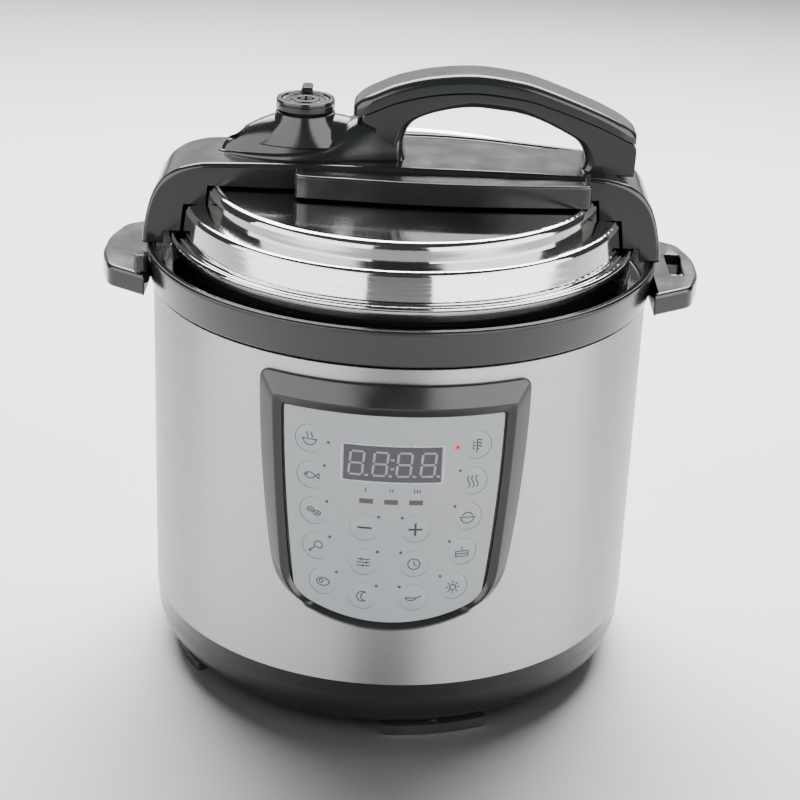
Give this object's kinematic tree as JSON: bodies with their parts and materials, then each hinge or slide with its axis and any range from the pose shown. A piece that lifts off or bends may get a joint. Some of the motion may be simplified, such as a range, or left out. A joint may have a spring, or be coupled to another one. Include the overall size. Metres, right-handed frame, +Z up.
{
  "type": "electric pressure cooker",
  "caption": "Steel-bodied electric pressure cooker with side lugs, front keypad, removable inner pot and twist-off lid with arched handle and steam valve.",
  "frame": {"origin": "on the vertical axis of the shell, at the plane of the feet", "axes": "+Z up, -Y to the front with the control panel, +X to the right-hand side lug"},
  "size_m": [0.32, 0.2955, 0.3295],
  "materials": {
    "shell_steel": "satin, brushed round the body",
    "lid_steel": "polished with fine spinning marks",
    "inner_steel": "satin",
    "charcoal_plastic": "fine-grained semi-matte moulding",
    "black_plastic": "semi-gloss moulding",
    "foot_rubber": "matte",
    "silicone": "satin translucent silicone",
    "overlay_film": "satin printed film",
    "key_film": "satin printed film",
    "window_tint": "tinted window",
    "light_red": "small lamp lenses",
    "board_green": "solder mask",
    "contact_brass": "bare",
    "wire_cover": "insulation",
    "cast_plate": "turned casting",
    "zinc_steel": "zinc plated",
    "clear_plastic": "clear smoked cup"
  },
  "bodies": {
    "base": {"base_pan": "charcoal_plastic", "feet": "foot_rubber", "base_screws": "zinc_steel", "pot_brackets": "zinc_steel", "heat_shield": "zinc_steel", "outer_pot": "zinc_steel", "outer_shell": "shell_steel", "top_collar": "charcoal_plastic", "lid_sensor": "black_plastic", "panel_frame": "charcoal_plastic", "panel_overlay": "overlay_film", "membrane_circuit": "clear_plastic", "display_window": "window_tint", "display_module": "black_plastic", "indicator_leds": "light_red", "control_board": "board_green", "heating_plate": "cast_plate", "heating_element": "zinc_steel", "sensor_spring": "zinc_steel", "pressure_switch": "black_plastic", "power_board": "board_green", "power_inlet": "black_plastic", "inlet_pins": "contact_brass", "wiring": "wire_cover"},
    "inner_pot": {"inner_pot": "inner_steel"},
    "seal": {"sealing_ring": "silicone"},
    "float": {"float_valve": "zinc_steel", "float_seal": "silicone"},
    "knob": {"pressure_knob": "black_plastic", "knob_weight": "zinc_steel"},
    "sensor": {"sensor_cap": "cast_plate"},
    "cup": {"condensate_cup": "clear_plastic"},
    "slider": {"interlock_slider": "black_plastic"},
    "lid": {"lid_shell": "lid_steel", "ring_rack": "zinc_steel", "exhaust_pipe": "zinc_steel", "exhaust_nut": "zinc_steel", "anti_block_shield": "zinc_steel", "lid_screws": "zinc_steel", "lid_bridge": "black_plastic", "bridge_plate": "black_plastic", "valve_cover": "black_plastic", "handle_arch": "black_plastic", "handle_cap": "black_plastic"},
    "soup_key_cap": {"soup_key": "key_film"},
    "multigrain_key_cap": {"multigrain_key": "key_film"},
    "fish_key_cap": {"fish_key": "key_film"},
    "steam_key_cap": {"steam_key": "key_film"},
    "beans_key_cap": {"beans_key": "key_film"},
    "rice_key_cap": {"rice_key": "key_film"},
    "poultry_key_cap": {"poultry_key": "key_film"},
    "cake_key_cap": {"cake_key": "key_film"},
    "meat_key_cap": {"meat_key": "key_film"},
    "keep_warm_key_cap": {"keep_warm_key": "key_film"},
    "minus_key_cap": {"minus_key": "key_film"},
    "plus_key_cap": {"plus_key": "key_film"},
    "adjust_key_cap": {"adjust_key": "key_film"},
    "delay_key_cap": {"delay_key": "key_film"},
    "slow_cook_key_cap": {"slow_cook_key": "key_film"},
    "saute_key_cap": {"saute_key": "key_film"}
  },
  "joints": [
    {"name": "pot_lift", "type": "slide", "parent": "base", "child": "inner_pot", "axis": [0, 0, 1], "range_m": [0, 0.2]},
    {"name": "lid_lift", "type": "slide", "parent": "inner_pot", "child": "seal", "axis": [0, 0, 1], "range_m": [0, 0.16]},
    {"name": "lid_turn", "type": "hinge", "parent": "seal", "child": "lid", "pos_m": [0, 0, 0.2445], "axis": [0, 0, 1], "range_deg": [-30, 0]},
    {"name": "slider_turn", "type": "hinge", "parent": "base", "child": "slider", "pos_m": [0, 0, 0.2195], "axis": [0, 0, 1], "range_deg": [-30, 0]},
    {"name": "float_rise", "type": "slide", "parent": "lid", "child": "float", "axis": [0, 0, 1], "range_m": [0, 0.0036]},
    {"name": "knob_turn", "type": "hinge", "parent": "lid", "child": "knob", "pos_m": [-0.053, 0, 0.305], "axis": [0, 0, 1], "range_deg": [-40, 40]},
    {"name": "sensor_press", "type": "slide", "parent": "base", "child": "sensor", "axis": [0, 0, 1], "range_m": [-0.003, 0], "stiffness_N_per_m": 400, "deforming": ["sensor_spring"]},
    {"name": "cup_slide", "type": "slide", "parent": "base", "child": "cup", "axis": [0, 1, 0], "range_m": [0, 0.03]},
    {"name": "soup_key_press", "type": "slide", "parent": "base", "child": "soup_key_cap", "axis": [0.3034, 0.9529, 0], "range_m": [0, 0.0004], "stiffness_N_per_m": 600},
    {"name": "multigrain_key_press", "type": "slide", "parent": "base", "child": "multigrain_key_cap", "axis": [-0.3034, 0.9529, 0], "range_m": [0, 0.0004], "stiffness_N_per_m": 600},
    {"name": "fish_key_press", "type": "slide", "parent": "base", "child": "fish_key_cap", "axis": [0.2948, 0.9556, 0], "range_m": [0, 0.0004], "stiffness_N_per_m": 600},
    {"name": "steam_key_press", "type": "slide", "parent": "base", "child": "steam_key_cap", "axis": [-0.2948, 0.9556, 0], "range_m": [0, 0.0004], "stiffness_N_per_m": 600},
    {"name": "beans_key_press", "type": "slide", "parent": "base", "child": "beans_key_cap", "axis": [0.2826, 0.9592, 0], "range_m": [0, 0.0004], "stiffness_N_per_m": 600},
    {"name": "rice_key_press", "type": "slide", "parent": "base", "child": "rice_key_cap", "axis": [-0.2826, 0.9592, 0], "range_m": [0, 0.0004], "stiffness_N_per_m": 600},
    {"name": "poultry_key_press", "type": "slide", "parent": "base", "child": "poultry_key_cap", "axis": [0.2688, 0.9632, 0], "range_m": [0, 0.0004], "stiffness_N_per_m": 600},
    {"name": "cake_key_press", "type": "slide", "parent": "base", "child": "cake_key_cap", "axis": [-0.2688, 0.9632, 0], "range_m": [0, 0.0004], "stiffness_N_per_m": 600},
    {"name": "meat_key_press", "type": "slide", "parent": "base", "child": "meat_key_cap", "axis": [0.2412, 0.9705, 0], "range_m": [0, 0.0004], "stiffness_N_per_m": 600},
    {"name": "keep_warm_key_press", "type": "slide", "parent": "base", "child": "keep_warm_key_cap", "axis": [-0.2412, 0.9705, 0], "range_m": [0, 0.0004], "stiffness_N_per_m": 600},
    {"name": "minus_key_press", "type": "slide", "parent": "base", "child": "minus_key_cap", "axis": [0.0931, 0.9957, 0], "range_m": [0, 0.0004], "stiffness_N_per_m": 600},
    {"name": "plus_key_press", "type": "slide", "parent": "base", "child": "plus_key_cap", "axis": [-0.0931, 0.9957, 0], "range_m": [0, 0.0004], "stiffness_N_per_m": 600},
    {"name": "adjust_key_press", "type": "slide", "parent": "base", "child": "adjust_key_cap", "axis": [0.0931, 0.9957, 0], "range_m": [0, 0.0004], "stiffness_N_per_m": 600},
    {"name": "delay_key_press", "type": "slide", "parent": "base", "child": "delay_key_cap", "axis": [-0.0931, 0.9957, 0], "range_m": [0, 0.0004], "stiffness_N_per_m": 600},
    {"name": "slow_cook_key_press", "type": "slide", "parent": "base", "child": "slow_cook_key_cap", "axis": [0.0931, 0.9957, 0], "range_m": [0, 0.0004], "stiffness_N_per_m": 600},
    {"name": "saute_key_press", "type": "slide", "parent": "base", "child": "saute_key_cap", "axis": [-0.0931, 0.9957, 0], "range_m": [0, 0.0004], "stiffness_N_per_m": 600}
  ],
  "couplings": [
    {"joint": "slider_turn", "follows": "lid_turn", "ratio": 1}
  ]
}
